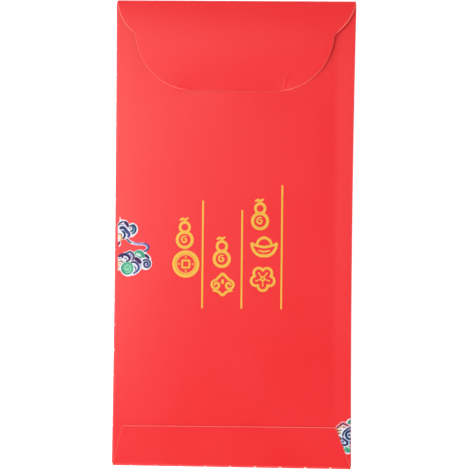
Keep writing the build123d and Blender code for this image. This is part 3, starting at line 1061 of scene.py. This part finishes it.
# %% [markdown]
# ## Gold on the back
# Foil is pressed on with a hot die, which leaves each line a hair proud and softly crowned. Three upright
# rules stand beside three columns of small lucky ornaments: gourds, a coin, a cloud head, an ingot and a
# blossom, all traditional figures, drawn with brush-like bands.

# %% Gold foil and the rules
FOIL = corners("gold_rules")[1][2] - BACK_TOP
RULE_FOOT = corners("gold_rules")[0][1]
FOIL_RIM = 0.3
RULE_WIDTH = 0.62
RULES = ((-11.1, 12.1), (3.2, 8.9), (17.7, 18.0))
GOLD_TONES = paint(250, 188, 60), paint(255, 206, 84)
gold_foil = finish("gold_foil_print", GOLD_TONES, (1800, 5200), (0.34, 0.46), 0.01, Metallic=0.2)


def add_gold(name, shapes, x=0.0, y=0.0):
    """Foil piece: shapes moved to x, y, with their crown as the height of the foil."""
    shells = [film_shell(plan + (x, y), FOIL * (FOIL_RIM + (1 - FOIL_RIM) * crown)) for plan, crown in shapes]
    return add_piece(name, join(shells), (gold_foil,))


rules = [band(np.linspace((x, RULE_FOOT), (x, head), 40), RULE_WIDTH) for x, head in RULES]
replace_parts(add_gold("gold_rules_foil", rules), "gold_rules")

# %% Ornaments
BOLD = 1.3


def stroke(path, width, brush=0.0):
    """Band of a bold brush."""
    return band(path, BOLD * width, brush)


def gourd():
    """Two rings, a tie round the waist, a stem with a leaf, and a curl in the lower ring."""
    return [
        stroke(scroll(0, -2.6, 2.75, 2.75, 90, 1), 0.85),
        stroke(scroll(0, 2.0, 1.75, 1.75, 90, 1), 0.75),
        stroke(pen((-16, 2, 16, -3, 16, 3)), 0.55, 0.5),
        stroke(pen((0, 36, 2.5, 11, 10.5, 7)), 0.6, 0.4),
        stroke(pen((3, 45, -11, 5, -12, -5)), 0.75, 0.8),
        stroke(scroll(0, -2.6, 1.4, 0.3, 60, 1.2), 0.5, 0.5),
    ]


def coin():
    """Two rings round a square hole, with four dots between."""
    square = even_walk(np.array([[1, 0], [1, 1], [-1, 1], [-1, -1], [1, -1], [1, 0]]) * 1.3, 0.1)
    dots = [disc(2.45 * np.cos(a), 2.45 * np.sin(a), 0.36) for a in np.pi / 2 * np.arange(4)]
    rings = [stroke(scroll(0, 0, 4.35, 4.35, 90, 1), 0.95), stroke(scroll(0, 0, 3.4, 3.4, 90, 1), 0.3)]
    return rings + [stroke(square, 0.5)] + dots


def cloud_head():
    """Two spirals that mirror each other under a pointed lobe, over a spreading foot."""
    spiral = scroll(-2.35, -0.3, 1.95, 0.4, 75, 1.35)
    return [
        stroke(spiral, 0.7, 0.3),
        stroke(spiral * (-1, 1), 0.7, 0.3),
        stroke(pen((-24, 16, 11, 11, 13, 10, 13, -10, 11, -11)), 0.8, 0.3),
        stroke(pen((-36, -23, 20, -4, 16, -12, 16, 12, 20, 4)), 0.75, 0.5),
        disc(0, 1.0, 0.5, 0.95),
    ]


def ingot():
    """A boat-shaped hull, its rim, the dome between its horns, and one line of shine."""
    hull = pen((-47, 14, 8, -26, 17, -17, 22, -4, 22, 4, 17, 17, 8, 26))
    return [
        stroke(hull, 0.85, 0.25),
        stroke(pen((-47, 14, 15, -8, 32, -7, 32, 7, 15, 8)), 0.7, 0.3),
        stroke(pen((-27, 5, 6, 17, 21, 11, 21, -11, 6, -17)), 0.75, 0.3),
        stroke(pen((-22, -13, 22, -5, 22, 5)), 0.5, 0.6),
    ]


def blossom():
    """Five petals as one closed line whose radius swells five times, a ring, and five stamens with dots."""
    angle = 2 * np.pi * np.linspace(0, 1, 181)
    reach = 4.35 * (0.66 + 0.34 * np.abs(np.sin(2.5 * angle)) ** 0.7)
    petals = stacked(reach * np.sin(angle), reach * np.cos(angle))
    spokes = 2 * np.pi * (np.arange(5) + 0.5) / 5
    ways = stacked(np.sin(spokes), np.cos(spokes))
    stamens = [stroke(flow(way, 2.1 * way, count=8), 0.3) for way in ways]
    dots = [disc(*(2.45 * way), 0.34) for way in ways]
    return [stroke(petals, 0.7), stroke(scroll(0, 0, 0.65, 0.65, 0, 1), 0.45)] + stamens + dots


add_gold("gold_gourd_left", gourd(), -17.7, 0.4)
add_gold("gold_coin", coin(), -17.2, -11.0)
add_gold("gold_gourd_middle", gourd(), -4.1, -6.4)
add_gold("gold_cloud_head", cloud_head(), -3.7, -18.2)
add_gold("gold_gourd_right", gourd(), 9.7, 7.5)
add_gold("gold_ingot", ingot(), 11.3, -4.4)
add_gold("gold_blossom", blossom(), 10.9, -16.0)

# %% [markdown]
# ## Floor and light
# The envelope lies on a plain pale floor. To the camera the floor glows a little, so that it reads as white
# and still takes the envelope's shadow. A broad soft window up and to the left, not far from the camera's own
# direction, makes the sheen that fades to the right and downwards. Other soft sheets and pale walls fill the
# shadows. The ceiling is dark, because a flat varnished sheet mirrors what is right above it, and a bright
# ceiling would lay a milky veil over the red.

# %% Floor
FLOOR_SIZE = 12.0
FLOOR_DROP = 0.05
FLOOR_GLOW = 0.8


def floor_finish():
    """Pale and matt, with a little glow for rays from the camera, mirrors and glass."""
    material = bpy.data.materials.new("pale_floor")
    material.use_nodes = True
    tree = material.node_tree
    rays = node(tree, "LightPath").outputs
    shown = maths(tree, "MAXIMUM", rays["Is Camera Ray"], rays["Is Glossy Ray"])
    shown = maths(tree, "MAXIMUM", shown, rays["Is Transmission Ray"])
    looks = {"Base_Color": (0.8, 0.8, 0.8, 1), "Roughness": 0.9, "Specular_IOR_Level": 0.0}
    glow = {"Emission_Color": (1, 1, 1, 1), "Emission_Strength": maths(tree, "MULTIPLY", shown, FLOOR_GLOW)}
    feed(tree, tree.nodes["Principled BSDF"], looks | glow)
    return material


side = FLOOR_SIZE / 2
floor_mesh = bpy.data.meshes.new("floor")
floor_corners = [(x * side, y * side, -FLOOR_DROP * MM) for x, y in signs[::-1].tolist()]
floor_mesh.from_pydata(floor_corners, [], [(0, 1, 2, 3)])
floor_mesh.materials.append(floor_finish())
floor = new_object("floor", floor_mesh)
print("floor", FLOOR_SIZE, "m square")

# %% Lights
WALL_LIGHT = 0.43
CEILING_LIGHT = 0.03
LEFT_WALL_SHARE = 0.45
WALL_TOP, CEILING_RIM = 0.72, 0.95


def soft_light(name, place, size, watts):
    """Square area light at a place in metres, turned to face the envelope."""
    lamp = bpy.data.lights.new(name, "AREA")
    lamp.shape = "SQUARE"
    lamp.size = size
    lamp.energy = watts
    holder = new_object(name, lamp)
    holder.location = place
    holder.rotation_euler = (-holder.location).to_track_quat("-Z", "Y").to_euler()


def pale_room():
    """World: pale walls under a dark ceiling, by how far up a direction points, and brighter to the left."""
    room = bpy.data.worlds.new("pale_room")
    room.use_nodes = True
    tree = room.node_tree
    axes = node(tree, "SeparateXYZ", Vector=node(tree, "TexCoord").outputs["Generated"])
    height = {"From_Min": WALL_TOP, "From_Max": CEILING_RIM, "To_Min": WALL_LIGHT, "To_Max": CEILING_LIGHT}
    smoothly = {"interpolation_type": "SMOOTHSTEP"}
    walls = node(tree, "MapRange", smoothly, Value=axes.outputs["Z"], **height)
    sides = maths(tree, "MULTIPLY_ADD", axes.outputs["X"], -LEFT_WALL_SHARE, 1.0)
    strength = maths(tree, "MULTIPLY", walls.outputs["Result"], sides)
    feed(tree, tree.nodes["Background"], {"Color": (1, 1, 1, 1), "Strength": strength})
    return room


soft_light("window_light", (-0.34, 0.11, 0.72), 0.5, 1.95)
soft_light("head_sheet", (-0.1, 0.8, 0.7), 0.5, 0.25)
soft_light("foot_sheet", (-0.1, -0.8, 0.7), 0.5, 2.3)
soft_light("left_sheet", (-0.4, -0.02, 0.3), 0.35, 0.6)
soft_light("right_fill", (1.0, 0.0, 0.75), 0.8, 4.2)
bpy.context.scene.world = pale_room()
bpy.context.scene.view_settings.view_transform = "Standard"
print("lights:", [lamp.name for lamp in bpy.data.lights])
